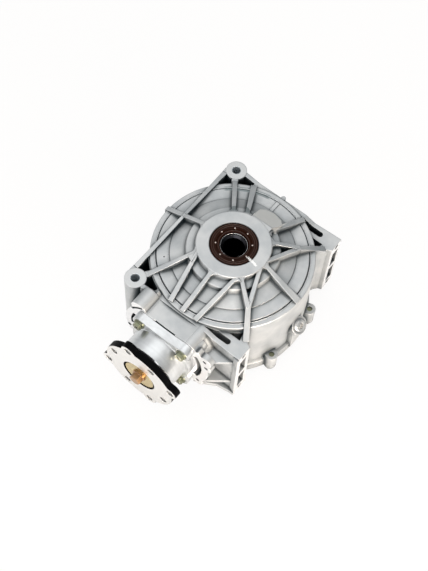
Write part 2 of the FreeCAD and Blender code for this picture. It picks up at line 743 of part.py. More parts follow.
def ring_gear():
    """Crown wheel: teeth up towards the pinion, flat back, bored to sit on the hub's pilot."""
    r_out, z_out = cone_point(ring_angle, dedendum, 1.0)
    r_in, z_in = cone_point(ring_angle, dedendum, 1.0 - face_share)
    blank = turned([(ring_bore_r, -ring_back_z), (ring_outer_r, -ring_back_z), (ring_outer_r, z_out + 1.5),
                    (r_out, z_out), (r_in, z_in), (ring_bore_r + 3, z_in + 5), (ring_bore_r, z_in + 7)])
    body = join([blank] + gear_teeth(ring_angle, ring_teeth, math.pi / 2))
    body = body.rotated(Vector(0, 0, 0), Vector(1, 0, 0), 180)
    holes = ring_of(disc(ring_bolt_d / 2 + bolt_gap, ring_back_z - 1, ring_back_z + 12, ring_bolt_pcr, 0),
                    ring_bolt_count, 180.0 / ring_bolt_count)
    return body.cut(holes)


def ring_gear_bolts():
    under = ring_back_z - carrier_t
    bolt = flange_head(ring_bolt_d * 0.85, under, -1).fuse(disc(ring_bolt_d / 2, under - 1, ring_back_z + 11))
    return ring_of(bolt.translated(Vector(ring_bolt_pcr, 0, 0)), ring_bolt_count, 180.0 / ring_bolt_count)


def pinion_gear():
    """Bevel pinion and its shaft in one piece, built along +Z and swung to -Y."""
    r_out, h_out = cone_point(pinion_angle, dedendum, 1.0)
    r_in, h_in = cone_point(pinion_angle, dedendum, 1.0 - face_share)
    back = h_out + 3.0
    shaft = turned([
        (0, h_in - 0.6), (r_in - 1, h_in - 0.6), (r_in, h_in), (r_out, h_out), (r_out, back),
        (shaft_r + 4.5, back), (shaft_r + 4.5, head_bearing_a - 0.2), (shaft_r, head_bearing_a - 0.2),
        (shaft_r, sleeve_in_a), (shaft_tip_r, sleeve_in_a + 0.5), (shaft_tip_r, flange_face_a - recess_d - 1),
        (0, flange_face_a - recess_d - 1)])
    gap_down = math.pi / pinion_teeth - math.pi / 2
    body = join([shaft] + gear_teeth(pinion_angle, pinion_teeth, gap_down))
    tap = disc(flange_bolt_d / 2 + bolt_gap, flange_face_a - flange_bolt_l - 6, flange_face_a)
    return to_pinion(body.cut(tap))


# Axle hub with splined bore

def axle_hub():
    under = ring_back_z - carrier_t
    top = hub_end_z
    body = turned([
        (hub_bore_r, hub_low_z), (hub_seal_r - 1, hub_low_z), (hub_seal_r, hub_low_z + 1),
        (hub_seal_r, lower_bearing_end),
        (hub_bearing_r, lower_bearing_end), (hub_bearing_r, lower_bearing_in + shim_t),
        (hub_body_r + 3, lower_bearing_in + shim_t),
        (hub_body_r + 3, under), (carrier_r, under), (carrier_r, ring_back_z), (ring_bore_r - seat_gap, ring_back_z),
        (ring_bore_r - seat_gap, ring_back_z + 7), (hub_body_r + 4, ring_back_z + 7), (hub_body_r, ring_back_z + 12),
        (hub_body_r, upper_bearing_in), (hub_bearing_r, upper_bearing_in), (hub_bearing_r, upper_bearing_end),
        (hub_seal_r, upper_bearing_end), (hub_seal_r, top - 1), (hub_seal_r - 1, top), (hub_bore_r, top)])
    body = turn(body, seam_angle)
    lead = hub_mouth_r - hub_bore_r
    mouth = turned([(0, top + 1), (hub_mouth_r, top + 1), (hub_mouth_r, top - 3), (hub_bore_r, top - 3 - lead),
                    (0, top - 3 - lead)])
    low_mouth = mouth.rotated(Vector(0, 0, 0), Vector(1, 0, 0), 180).translated(Vector(0, 0, top + hub_low_z))
    groove = box(hub_bore_r - 2, hub_bore_r + spline_d, -spline_w / 2, spline_w / 2, -spline_half, spline_half)
    cuts = [mouth, low_mouth] + ring_of(groove, spline_count, 180.0 / spline_count)
    cuts += ring_of(disc(ring_bolt_d / 2 + bolt_gap, under - 1, ring_back_z + 1, ring_bolt_pcr, 0),
                    ring_bolt_count, 180.0 / ring_bolt_count)
    return body.cut(cuts)


def hub_shim():
    return tube(hub_bearing_r + seat_gap, hub_body_r + 3, lower_bearing_in, lower_bearing_in + shim_t)


# Rolling bearings and seals

def bearing(bore, outside, low, width, rollers, rows=1):
    """Roller bearing along Z: outer race with lips, inner race, and the cage with its rollers."""
    pitch = (bore + outside) / 2
    roller_r = (outside - bore) * 0.21
    high = low + width
    lip = width * 0.13
    track_out = pitch + roller_r + run_gap
    track_in = pitch - roller_r - run_gap
    lip_r = pitch + roller_r * 0.55
    outer = turned([
        (outside - seat_gap, low), (outside - seat_gap, high), (lip_r, high), (lip_r, high - lip),
        (track_out, high - lip), (track_out, low + lip), (lip_r, low + lip), (lip_r, low)])
    inner = tube(bore + seat_gap, track_in, low, high)
    length = (width - 2 * lip) / rows - clear_gap
    cage = tube(pitch - 0.9, pitch + 0.9, low + lip * 0.5, high - lip * 0.5)
    bodies = [cage]
    for row in range(rows):
        mid = low + lip + (width - 2 * lip) * (row + 0.5) / rows
        roller = disc(roller_r, mid - length / 2, mid + length / 2, pitch, 0)
        bodies += ring_of(roller, rollers, row * 180.0 / rollers)
    return outer, inner, join(bodies)


def seal(shaft, outside, low, width, face_up):
    """Rubber-covered ring with a thin web and a lip that runs on the shaft."""
    lip, rim = shaft + run_gap, outside - seat_gap
    profile = [
        (lip, 1.2), (lip, width - 1.6), (lip + 1.4, width - 1.0), (shaft + 4.2, width - 1.4), (shaft + 5.0, width),
        (outside - 1.0, width), (rim, width - 1.0), (rim, 0), (outside - 3, 0), (outside - 3, width - 3.4),
        (shaft + 4.6, width - 3.4), (shaft + 3, 1.2)]
    if face_up:
        return turned([(r, low + h) for r, h in profile])
    return turned([(r, low + width - h) for r, h in reversed(profile)])


# Pinion retainer and drive flange

def retainer_outline(h0, h1, grow=0.0):
    """Round plate with a lobe at each of its four bolts and gentle slopes between the lobes."""
    lobe, round_r = bolt_lobe_r - 1.0 + grow, nozzle_r - 0.6 + grow
    parts = [disc(round_r, h0, h1), lobe_bridge(lobe, round_r, h0, h1)]
    for x, y in retainer_bolt_places():
        parts.append(disc(lobe, h0, h1, x, y))
    return join(parts)


def retainer_bolt_places():
    return [(sx * bolt_x, sz * bolt_z) for sx in (1, -1) for sz in (1, -1)]


def pinion_retainer():
    a0 = case_face_a + retainer_gasket_t
    a1 = a0 + retainer_flange_t
    nose = turned([(0, spigot_in_a), (spigot_r - 1, spigot_in_a), (spigot_r, spigot_in_a + 1), (spigot_r, a0 + 1),
                   (nose_r + 0.8, a0 + 1), (nose_r + 0.8, a1), (nose_r, a1 + 0.8),
                   (nose_r, nose_end_a - 1.2), (nose_r - 1.2, nose_end_a), (0, nose_end_a)])
    body = join([nose, retainer_outline(a0, a1)])
    bearing_end = pinion_bearing_a + pinion_bearing_w
    cuts = [disc(pinion_bearing_r, pinion_bearing_a, bearing_end + 3.0),
            disc(pinion_bearing_r - 6, spigot_in_a - 1, pinion_bearing_a + 1),
            disc(pinion_seal_r, bearing_end, nose_end_a + 1)]
    cuts.append(tube(pinion_bearing_r - 1, pinion_bearing_r + 1.6, bearing_end + 0.1, bearing_end + 2.1))
    cuts.append(tube(spigot_r - 2.4, spigot_r + 2, spigot_in_a + 8, spigot_in_a + 11.2))
    for x, y in retainer_bolt_places():
        cuts.append(disc(retainer_bolt_d / 2 + bolt_gap, a0 - 1, a1 + 5, x, y))
        cuts.append(disc(retainer_bolt_d * 1.2, a1, a1 + 30, x, y))
    return to_pinion(body.cut(cuts))


def retainer_gasket():
    a0 = case_face_a
    body = retainer_outline(a0, a0 + retainer_gasket_t, -0.8)
    cuts = [disc(spigot_r + 0.2, a0 - 1, a0 + 2)]
    for x, y in retainer_bolt_places():
        cuts.append(disc(retainer_bolt_d / 2 + bolt_gap, a0 - 1, a0 + 2, x, y))
    return to_pinion(body.cut(cuts))


def retainer_bolts():
    seat = case_face_a + retainer_gasket_t + retainer_flange_t
    shank = disc(retainer_bolt_d / 2, case_face_a - retainer_bolt_grip, seat + 1)
    bolt = flange_head(retainer_bolt_d, seat).fuse(shank)
    return [to_pinion(bolt.translated(Vector(x, y, 0))) for x, y in retainer_bolt_places()]


def retainer_o_ring():
    mid = spigot_in_a + 9.6
    return to_pinion(Part.makeTorus(spigot_r - 1.2, 1.15, Vector(0, 0, mid)))


def bearing_circlip():
    start = pinion_bearing_a + pinion_bearing_w + 0.15
    ring = tube(pinion_bearing_r - 3, pinion_bearing_r + 1.4, start, start + 1.8)
    return to_pinion(ring.cut(box(-6, 6, -60, -20, start - 1, start + 3)))


def flange_outline(h0, h1):
    """Round plate with a lobe at each outer hole; a small arc rounds each notch beside a lobe."""
    out_r = flange_round_r + flange_notch_r
    from_lobe = flange_lobe_r + flange_notch_r
    share = (flange_lobe_pcr ** 2 + out_r ** 2 - from_lobe ** 2) / (2 * flange_lobe_pcr * out_r)
    swing = math.degrees(math.acos(share))
    edges = []
    for k in range(4):
        at = outer_hole_angle + 90.0 * k
        lobe = Vector(*polar(flange_lobe_pcr, at), h0)
        notches = [Vector(*polar(out_r, at + side * swing), h0) for side in (-1, 1)]
        touch = [lobe + (n - lobe).normalize() * flange_lobe_r for n in notches]
        round_at = [Vector(*polar(flange_round_r, at + side * swing), h0) for side in (-1, 1)]
        mids = []
        for n, t, b in zip(notches, touch, round_at):
            mids.append(n + ((t - n) + (b - n)).normalize() * flange_notch_r)
        edges.append(Part.Arc(round_at[0], mids[0], touch[0]).toShape())
        crest = Vector(*polar(flange_lobe_pcr + flange_lobe_r, at), h0)
        edges.append(Part.Arc(touch[0], crest, touch[1]).toShape())
        edges.append(Part.Arc(touch[1], mids[1], round_at[1]).toShape())
        following = Vector(*polar(flange_round_r, at + 90.0 - swing), h0)
        edges.append(Part.Arc(round_at[1], Vector(*polar(flange_round_r, at + 45.0), h0), following).toShape())
    return Part.Face(Part.Wire(edges)).extrude(Vector(0, 0, h1 - h0))


def drive_flange():
    back = flange_face_a - flange_t
    body = flange_outline(back, flange_face_a)
    sleeve = disc(sleeve_r, sleeve_in_a + 0.6, back + 1)
    shoulder = turned([(0, nose_end_a + 1.5), (sleeve_r + 6, nose_end_a + 1.5), (sleeve_r + 9, back + 1),
                       (0, back + 1)])
    body = join([body, sleeve, shoulder])
    cuts = [disc(recess_r, flange_face_a - recess_d, flange_face_a + 1),
            disc(shaft_tip_r + seat_gap, sleeve_in_a - 1, flange_face_a + 1)]
    for pcr, first in ((outer_hole_pcr, outer_hole_angle), (inner_hole_pcr, inner_hole_angle)):
        for k in range(4):
            x, y = polar(pcr, first + 90 * k)
            cuts.append(disc(flange_hole_r, back - 9, flange_face_a + 1, x, y))
    return to_pinion(body.cut(cuts))


def flange_washer():
    low = flange_face_a - recess_d
    body = disc(washer_r, low, low + washer_t).cut(disc(flange_bolt_d / 2 + bolt_gap, low - 1, low + 9))
    return to_pinion(body)


def flange_bolt():
    under = flange_face_a - recess_d + washer_t
    head = hex_prism(flange_bolt_af, under, under + flange_bolt_head)
    corner = flange_bolt_af * 0.8
    crown = turned([(0, under - 1), (corner, under - 1), (corner, under + flange_bolt_head - 1.6),
                    (flange_bolt_af / 2 - 0.4, under + flange_bolt_head), (0, under + flange_bolt_head)])
    shank = disc(flange_bolt_d / 2, under - flange_bolt_l, under + 1)
    bolt = head.common(crown).fuse([shank, disc(flange_bolt_af * 0.7, under, under + 2.2)])
    return to_pinion(bolt)


# Plugs and vent

def sealing_plug(d):
    """Flush plug with a round chamfered head and a hexagon socket; it sits on its washer at height 0.8."""
    head = turned([(0, 0.8), (plug_head_r, 0.8), (plug_head_r, 2.9), (plug_head_r - 0.6, 3.5), (0, 3.5)])
    return join([head, disc(d / 2, -12, 1.0)]).cut(hex_prism(plug_socket, -3.5, 4))


def plug_washer(d):
    return tube(d / 2 + 0.25, plug_head_r + 0.8, 0.0, 0.8)


def vent_fitting():
    """Breather: threaded stem, hexagon, hose nipple with a bead."""
    stem = disc(vent_d / 2, -7, 0.5)
    hexagon = hex_prism(12.0, 0, 5)
    nipple = turned([(0, 4), (2.6, 4), (2.6, 11), (3.4, 12), (2.6, 14), (2.2, 14.5), (0, 14.5)])
    return join([stem, hexagon, nipple]).cut(disc(1.2, -8, 15))


def main():
    os.makedirs("parts", exist_ok=True)
    save("main_case", main_case())
    save("side_cover", side_cover())
    save("cover_gasket", cover_gasket())
    save("cover_bolts", cover_bolts())
    save("cover_dowels", cover_dowels())
    save("ring_gear", ring_gear())
    save("ring_gear_bolts", ring_gear_bolts())
    save("pinion_gear", pinion_gear())
    save("axle_hub", axle_hub())
    save("hub_shim", hub_shim())
    for name, start in (("upper", upper_bearing_in), ("lower", lower_bearing_end)):
        outer, inner, rollers = bearing(hub_bearing_r, axle_bearing_r, start, axle_bearing_w, 12)
        save(name + "_bearing_outer_race", outer)
        save(name + "_bearing_inner_race", inner)
        save(name + "_bearing_rollers", rollers)
    for name, start, width, rows in (("head", head_bearing_a, head_bearing_w, 1),
                                     ("pinion", pinion_bearing_a, pinion_bearing_w, 2)):
        outer, inner, rollers = bearing(shaft_r, pinion_bearing_r, start, width, 10, rows)
        save(name + "_bearing_outer_race", to_pinion(outer))
        save(name + "_bearing_inner_race", to_pinion(inner))
        save(name + "_bearing_rollers", to_pinion(rollers))
    spacer = tube(shaft_r + seat_gap, shaft_r + 5, head_bearing_a + head_bearing_w, pinion_bearing_a)
    save("bearing_spacer", to_pinion(spacer))
    save("upper_axle_seal", seal(hub_seal_r, axle_seal_r, hub_z - 0.5 - axle_seal_w, axle_seal_w, True))
    save("lower_axle_seal", seal(hub_seal_r, axle_seal_r, cover_hub_z + lower_seal_in, axle_seal_w, False))
    save("pinion_seal", to_pinion(seal(sleeve_r, pinion_seal_r, nose_end_a - pinion_seal_w, pinion_seal_w, True)))
    save("pinion_retainer", pinion_retainer())
    save("retainer_gasket", retainer_gasket())
    save("retainer_bolts", retainer_bolts())
    save("retainer_o_ring", retainer_o_ring())
    save("bearing_circlip", bearing_circlip())
    save("drive_flange", drive_flange())
    save("flange_washer", flange_washer())
    save("flange_bolt", flange_bolt())
    for name, place in (("drain", at_drain), ("filler", at_filler)):
        save(name + "_plug", place(sealing_plug(plug_d)))
        save(name + "_washer", place(plug_washer(plug_d)))
    save("vent_fitting", at_vent(vent_fitting()))


main()
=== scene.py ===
# Studio scene for the right-angle final drive: camera, floor, lights, finishes and the small pieces
import math

import bpy
from mathutils import Matrix, Vector


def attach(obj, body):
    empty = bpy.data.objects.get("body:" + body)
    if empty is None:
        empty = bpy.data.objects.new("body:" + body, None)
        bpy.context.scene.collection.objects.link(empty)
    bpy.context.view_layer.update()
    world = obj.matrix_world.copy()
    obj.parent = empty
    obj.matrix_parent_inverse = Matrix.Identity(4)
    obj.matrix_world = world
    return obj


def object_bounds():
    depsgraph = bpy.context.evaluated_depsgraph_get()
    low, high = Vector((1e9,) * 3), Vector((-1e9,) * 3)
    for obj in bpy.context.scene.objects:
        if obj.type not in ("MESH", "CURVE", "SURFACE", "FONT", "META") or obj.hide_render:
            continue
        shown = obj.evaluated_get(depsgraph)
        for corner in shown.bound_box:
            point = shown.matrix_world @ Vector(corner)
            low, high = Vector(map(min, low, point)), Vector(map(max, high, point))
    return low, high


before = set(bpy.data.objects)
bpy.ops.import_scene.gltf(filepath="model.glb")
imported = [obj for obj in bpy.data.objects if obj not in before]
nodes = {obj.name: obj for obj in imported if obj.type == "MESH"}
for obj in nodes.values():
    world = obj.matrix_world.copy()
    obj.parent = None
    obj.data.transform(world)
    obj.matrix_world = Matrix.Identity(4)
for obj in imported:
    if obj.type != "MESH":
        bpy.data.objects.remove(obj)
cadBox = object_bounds()
print("frame loaded with", len(nodes), "nodes")


# Camera: matched to the photograph by given points, distances in metres
camera = {
    "azimuth": 33.849,
    "elevation": 62.238,
    "roll": 4.693,
    "distance": 1.451473,
    "across": 0.027467,
    "down": 0.057313,
    "hubFace": 0.0833,  # the fit was made from the hub face
    "focalPixels": 1057.75,
    "imageHeight": 571,
}


def makeCamera(spec):
    azimuth, elevation, roll = (math.radians(spec[key]) for key in ("azimuth", "elevation", "roll"))
    back = Vector((math.sin(azimuth) * math.cos(elevation), -math.cos(azimuth) * math.cos(elevation),
                   math.sin(elevation)))
    side = Vector((math.cos(azimuth), math.sin(azimuth), 0))
    rise = back.cross(side)
    alongX = side * math.cos(roll) + rise * math.sin(roll)
    alongY = rise * math.cos(roll) - side * math.sin(roll)
    place = back * spec["distance"] - alongX * spec["across"] - alongY * spec["down"]
    place.z += spec["hubFace"]
    data = bpy.data.cameras.new("photoCamera")
    data.sensor_fit = "VERTICAL"
    data.sensor_height = 24.0
    data.lens = spec["focalPixels"] / spec["imageHeight"] * data.sensor_height
    data.clip_end = 20
    cam = bpy.data.objects.new("photoCamera", data)
    bpy.context.collection.objects.link(cam)
    turned = Matrix((alongX, alongY, back)).transposed().to_4x4()
    cam.matrix_world = Matrix.Translation(place) @ turned
    bpy.context.scene.camera = cam


makeCamera(camera)
bpy.context.scene.view_settings.view_transform = "Standard"
print("camera placed")


# Node helpers shared by every finish

def link(tree, source, target):
    tree.links.new(source, target)


def addNode(tree, kind, inputs=None, **settings):
    node = tree.nodes.new(kind)
    for key, value in settings.items():
        setattr(node, key, value)
    for key, value in (inputs or {}).items():
        if isinstance(value, bpy.types.NodeSocket):
            tree.links.new(value, node.inputs[key])
        else:
            node.inputs[key].default_value = value
    return node


def mathNode(tree, operation, first, second=0.0, third=0.0, clamp=False):
    return addNode(tree, "ShaderNodeMath", {0: first, 1: second, 2: third}, operation=operation,
                   use_clamp=clamp).outputs[0]


def times(tree, first, second, clamp=False):
    return mathNode(tree, "MULTIPLY", first, second, clamp=clamp)


def inverse(tree, value, clamp=False):
    return mathNode(tree, "SUBTRACT", 1.0, value, clamp=clamp)


def radiusOf(tree, x, y):
    return mathNode(tree, "SQRT", mathNode(tree, "ADD", times(tree, x, x), times(tree, y, y)))


def stretch(tree, value, low, high, toLow=0.0, toHigh=1.0, **settings):
    # Maps low..high on to toLow..toHigh
    inputs = {"Value": value, "From Min": low, "From Max": high, "To Min": toLow, "To Max": toHigh}
    return addNode(tree, "ShaderNodeMapRange", inputs, **settings).outputs[0]


def mixColour(tree, factor, first, second):
    mix = addNode(tree, "ShaderNodeMix", {"Factor": factor}, data_type="RGBA")
    for socket, value in ((mix.inputs[6], first), (mix.inputs[7], second)):
        if isinstance(value, bpy.types.NodeSocket):
            tree.links.new(value, socket)
        else:
            socket.default_value = (*value, 1)
    return mix.outputs[2]


def newGroup(name, inputs, outputs):
    group = bpy.data.node_groups.new(name, "ShaderNodeTree")
    for label, kind, value in inputs:
        socket = group.interface.new_socket(name=label, in_out="INPUT", socket_type=kind)
        if value is not None:
            socket.default_value = value
    for label, kind in outputs:
        group.interface.new_socket(name=label, in_out="OUTPUT", socket_type=kind)
    start = group.nodes.new("NodeGroupInput")
    end = group.nodes.new("NodeGroupOutput")
    return group, start.outputs, end.inputs


def useGroup(tree, group, **inputs):
    node = addNode(tree, "ShaderNodeGroup", None, node_tree=group)
    for key, value in inputs.items():
        socket = node.inputs[key]
        if isinstance(value, bpy.types.NodeSocket):
            tree.links.new(value, socket)
        else:
            socket.default_value = value
    return node.outputs


def makeCastGrain():
    # Sand-like skin of a die casting: fine grain, shallow pits and broad cloudy tone
    group, given, out = newGroup(
        "castGrain", [("Place", "NodeSocketVector", None), ("Size", "NodeSocketFloat", 900.0)],
        [("Height", "NodeSocketFloat"), ("Cloud", "NodeSocketFloat")])
    place = given["Place"]
    fineShare, pitShare, cloudShare = 0.7, 0.35, 0.035
    fine = addNode(group, "ShaderNodeTexNoise",
                   {"Vector": place, "Scale": given["Size"], "Detail": 4.0, "Roughness": 0.6})
    pitSize = times(group, given["Size"], pitShare)
    pits = addNode(group, "ShaderNodeTexVoronoi", {"Vector": place, "Scale": pitSize})
    dip = mathNode(group, "SMOOTH_MIN", pits.outputs["Distance"], 0.25, 0.1)
    cloudSize = times(group, given["Size"], cloudShare)
    cloud = addNode(group, "ShaderNodeTexNoise",
                    {"Vector": place, "Scale": cloudSize, "Detail": 5.0, "Roughness": 0.55})
    height = mathNode(group, "ADD", times(group, fine.outputs["Fac"], fineShare), dip)
    link(group, height, out["Height"])
    link(group, cloud.outputs["Fac"], out["Cloud"])
    return group


def makeWornAndGlintingEdges():
    # Rounded edges, and a mask along them for worn edges and painted highlight
    group, given, out = newGroup(
        "wornAndGlintingEdges", [("Radius", "NodeSocketFloat", 0.0008), ("Gain", "NodeSocketFloat", 6.0)],
        [("Mask", "NodeSocketFloat"), ("Normal", "NodeSocketVector")])
    soft = addNode(group, "ShaderNodeBevel", {"Radius": given["Radius"]}, samples=6)
    flat = addNode(group, "ShaderNodeNewGeometry")
    along = addNode(group, "ShaderNodeVectorMath", {0: soft.outputs["Normal"], 1: flat.outputs["Normal"]},
                    operation="DOT_PRODUCT")
    mask = times(group, inverse(group, along.outputs["Value"]), given["Gain"], clamp=True)
    link(group, mask, out["Mask"])
    link(group, soft.outputs["Normal"], out["Normal"])
    return group


def makeCrevice():
    # Painted shade that gathers in corners and pockets, from ambient occlusion
    group, given, out = newGroup(
        "crevice", [("Reach", "NodeSocketFloat", 0.01), ("Power", "NodeSocketFloat", 1.5)],
        [("Mask", "NodeSocketFloat")])
    shade = addNode(group, "ShaderNodeAmbientOcclusion", {"Distance": given["Reach"]}, samples=8)
    lit = mathNode(group, "POWER", shade.outputs["AO"], given["Power"])
    link(group, inverse(group, lit, clamp=True), out["Mask"])
    return group


def makeTurnedLines():
    # Fine concentric lathe lines about the group's Z axis
    group, given, out = newGroup(
        "turnedLines", [("Place", "NodeSocketVector", None), ("Pitch", "NodeSocketFloat", 0.0005)],
        [("Height", "NodeSocketFloat"), ("Streak", "NodeSocketFloat")])
    parts = addNode(group, "ShaderNodeSeparateXYZ", {0: given["Place"]})
    radius = radiusOf(group, parts.outputs["X"], parts.outputs["Y"])
    rings = mathNode(group, "DIVIDE", mathNode(group, "ADD", radius, parts.outputs["Z"]), given["Pitch"])
    wobble = addNode(group, "ShaderNodeTexNoise", {"W": rings, "Scale": 1.0, "Detail": 3.0},
                     noise_dimensions="1D")
    streakShare = 0.11
    streakAt = times(group, rings, streakShare)
    streak = addNode(group, "ShaderNodeTexNoise", {"W": streakAt, "Scale": 1.0, "Detail": 2.0},
                     noise_dimensions="1D")
    link(group, wobble.outputs["Fac"], out["Height"])
    link(group, streak.outputs["Fac"], out["Streak"])
    return group


castGrain = makeCastGrain()
wornAndGlintingEdges = makeWornAndGlintingEdges()
crevice = makeCrevice()
turnedLines = makeTurnedLines()


def newMaterial(name, **constants):
    material = bpy.data.materials.new(name)
    material.use_nodes = True
    tree = material.node_tree
    tree.nodes.clear()
    output = tree.nodes.new("ShaderNodeOutputMaterial")
    shader = tree.nodes.new("ShaderNodeBsdfPrincipled")
    link(tree, shader.outputs["BSDF"], output.inputs["Surface"])
    for key, value in constants.items():
        shader.inputs[key.replace("_", " ")].default_value = value
    return material, tree, shader


def objectPlace(tree):
    return addNode(tree, "ShaderNodeTexCoord").outputs["Object"]


def axisParts(tree, vector):
    return addNode(tree, "ShaderNodeSeparateXYZ", {0: vector}).outputs


def inBand(tree, value, low, high, soft=0.0001):
    # 1 between low and high, with a narrow soft edge
    rise = stretch(tree, value, low - soft, low + soft)
    fall = stretch(tree, value, high + soft, high - soft)
    return times(tree, rise, fall)


def bump(tree, height, normal, strength, distance):
    inputs = {"Height": height, "Strength": strength, "Distance": distance, "Normal": normal}
    return addNode(tree, "ShaderNodeBump", inputs).outputs["Normal"]


# Floor and lights

studio = {
    "floorColour": (0.95, 0.945, 0.94),
    "floorGlow": 0.92,
    "floorReach": 6.0,
    "world": 0.82,
    "reflectedWorld": 0.85,
    "brightSide": (-0.30, -0.30, 0.905),  # where the room is bright; away from it the room is dark
    "brightSpread": (-0.3, 0.82),
    "brightTint": (1.0, 1.0, 1.0),
    "darkTint": (0.17, 0.205, 0.22),
    "glowTint": (1, 0.995, 0.99),
}
lamps = {  # place and aim in metres, size across and upwards
    "keyLight": {"place": (-0.3, 0.05, 2.0), "aim": (0, -0.03, 0), "power": 9.0,
                 "size": (2.2, 2.0), "tint": (1, 1, 1)},
    "fillLight": {"place": (0.4, -1.7, 0.7), "aim": (0, -0.05, 0), "power": 11.5,
                  "size": (1.6, 1.0), "tint": (1, 0.98, 0.96)},
    "warmLight": {"place": (1.5, -0.85, 0.2), "aim": (0.1, -0.02, -0.02), "power": 44.0,
                  "size": (1.5, 0.8), "tint": (1, 0.87, 0.75)},
}


def makeFloor(spec):
    level = cadBox[0][2]
    mesh = bpy.data.meshes.new("floor")
    reach = spec["floorReach"]
    corners = ((-reach, -reach), (reach, -reach), (reach, reach), (-reach, reach))
    mesh.from_pydata([(x, y, level) for x, y in corners], [], [(0, 1, 2, 3)])
    floor = bpy.data.objects.new("floor", mesh)
    bpy.context.collection.objects.link(floor)
    material = bpy.data.materials.new("whiteFloor")
    material.use_nodes = True
    tree = material.node_tree
    tree.nodes.clear()
    output = tree.nodes.new("ShaderNodeOutputMaterial")
    paper = addNode(tree, "ShaderNodeBsdfDiffuse", {"Color": (*spec["floorColour"], 1)})
    glow = addNode(tree, "ShaderNodeEmission", {"Color": (*spec["glowTint"], 1), "Strength": 1.0})
    rays = addNode(tree, "ShaderNodeLightPath")
    seen = times(tree, rays.outputs["Is Camera Ray"], spec["floorGlow"])
    mix = addNode(tree, "ShaderNodeMixShader", {0: seen, 1: paper.outputs[0], 2: glow.outputs[0]})
    link(tree, mix.outputs[0], output.inputs["Surface"])
    mesh.materials.append(material)


def makeWorld(spec):
    world = bpy.data.worlds.new("softRoom")
    bpy.context.scene.world = world
    world.use_nodes = True
    tree = world.node_tree
    tree.nodes.clear()
    output = tree.nodes.new("ShaderNodeOutputWorld")
    rays = addNode(tree, "ShaderNodeLightPath")
    direction = addNode(tree, "ShaderNodeTexCoord").outputs["Generated"]
    towards = addNode(tree, "ShaderNodeVectorMath", {0: direction, 1: spec["brightSide"]},
                      operation="DOT_PRODUCT")
    share = stretch(tree, towards.outputs["Value"], *spec["brightSpread"], interpolation_type="SMOOTHSTEP")
    tint = mixColour(tree, share, spec["darkTint"], spec["brightTint"])
    room = addNode(tree, "ShaderNodeBackground", {"Color": tint, "Strength": spec["world"]})
    mirror = addNode(tree, "ShaderNodeBackground", {"Color": tint, "Strength": spec["reflectedWorld"]})
    white = addNode(tree, "ShaderNodeBackground", {"Color": (1, 1, 1, 1), "Strength": 1.0})
    lit = addNode(tree, "ShaderNodeMixShader", {0: rays.outputs["Is Glossy Ray"], 1: room.outputs[0],
                                                2: mirror.outputs[0]})
    seen = addNode(tree, "ShaderNodeMixShader", {0: rays.outputs["Is Camera Ray"], 1: lit.outputs[0],
                                                 2: white.outputs[0]})
    link(tree, seen.outputs[0], output.inputs["Surface"])


def makeLamp(name, spec):
    data = bpy.data.lights.new(name, "AREA")
    data.shape = "RECTANGLE"
    data.size, data.size_y = spec["size"]
    data.energy = spec["power"]
    data.color = spec["tint"]
    lamp = bpy.data.objects.new(name, data)
    lamp.location = spec["place"]
    towards = Vector(spec["aim"]) - Vector(spec["place"])
    lamp.rotation_euler = towards.to_track_quat("-Z", "Y").to_euler()
    bpy.context.collection.objects.link(lamp)


makeFloor(studio)
makeWorld(studio)
for lampName, lampSpec in lamps.items():
    makeLamp(lampName, lampSpec)
print("floor and lights set")


# Finishes for the CAD nodes

cloudSpread = (0.35, 0.65)  # cloud values that give the darkest and the lightest tone
fineDepth = 0.0001  # depth of the bumps on everything but the castings

casting = {
    "skin": (0.46, 0.48, 0.49),
    "light": (0.60, 0.61, 0.61),
    "fan": (0.88, 0.86, 0.82),
    "shadedRib": (0.20, 0.235, 0.24),
    "cornerShade": (0.04, 0.055, 0.06),
    "seam": (0.02, 0.03, 0.034),
    "hollowShade": (0.030, 0.050, 0.060),
    "machined": (0.84, 0.85, 0.86),
    "lugFace": (0.60, 0.61, 0.61),
    "lugBoreLight": (0.78, 0.83, 0.86),
    "edge": (0.88, 0.89, 0.90),
    "roughness": 0.44,
    "roughnessDown": 0.07,
    "roughnessUp": 0.09,
    "machinedRoughness": 0.28,
    "metallic": 0.75,
    "grainSize": 900.0,
    "grainBump": 0.5,
    "grainDepth": 0.00025,
    "edgeRadius": 0.0016,
    "edgeGain": 5.0,
    "wearAndGlintShare": 0.7,
    "corners": (0.014, 1.9),  # reach and power of each crevice mask
    "cornerShadeShare": 0.7,
    "seams": (0.005, 3.2),
    "seamShare": 0.92,
    "hollows": (0.07, 1.6),
    "hollowSpread": (0.66, 0.95),
    "hollowShadeShare": 0.92,
    # Block gussets, where the painted corner and hollow shade is kept lighter
    "gussetRegion": (("X", 0.045, 1.0, 0.004), ("Y", -1.0, -0.085, 0.004), ("Z", -1.0, 0.0455, 0.001)),
    "gussetRelief": 0.6,
    "paint": (0.92, 0.92, 0.90),
    "paintFrom": (0.027, -0.0045),
    "paintTo": (0.045, -0.0085),
    "paintWidth": 0.0017,  # to either side
    "paintGrain": 420.0,
    "paintRagged": 0.004,
    "paintFade": (0.0004, 0.0003),  # along and across the stroke
    "paintAbove": 0.07,
    "lugAxes": ((-0.0814, 0.11466), (-0.0814, -0.11466)),
    "lugBoreRadius": 0.0072,
    "lugRadius": 0.0162,
    "lugTop": 0.0545,
    "lugSkin": 0.0006,  # the lug tone reaches this far below the top
    "lugBoreFrom": 0.02,
    "lugBoreLightShare": 0.85,
    "fanRegion": (("X", -0.010, 0.032, 0.001), ("Y", 0.0535, 0.084, 0.001), ("Z", 0.062, 0.0826, 0.001)),
    "fanShare": 0.75,
    "ribStart": 0.0545,
    "ribFall": (0.051, 0.0831, 0.107, 0.0565),  # rib top: radius and height at the hub, then at the rim
    "ribMargin": 0.0009,
    "ribBeyond": 0.004,
    "ribFade": 0.0015,
    "farRibs": (98, 134),
    "farFade": 0.02,
    "ribShade": 0.8,
}


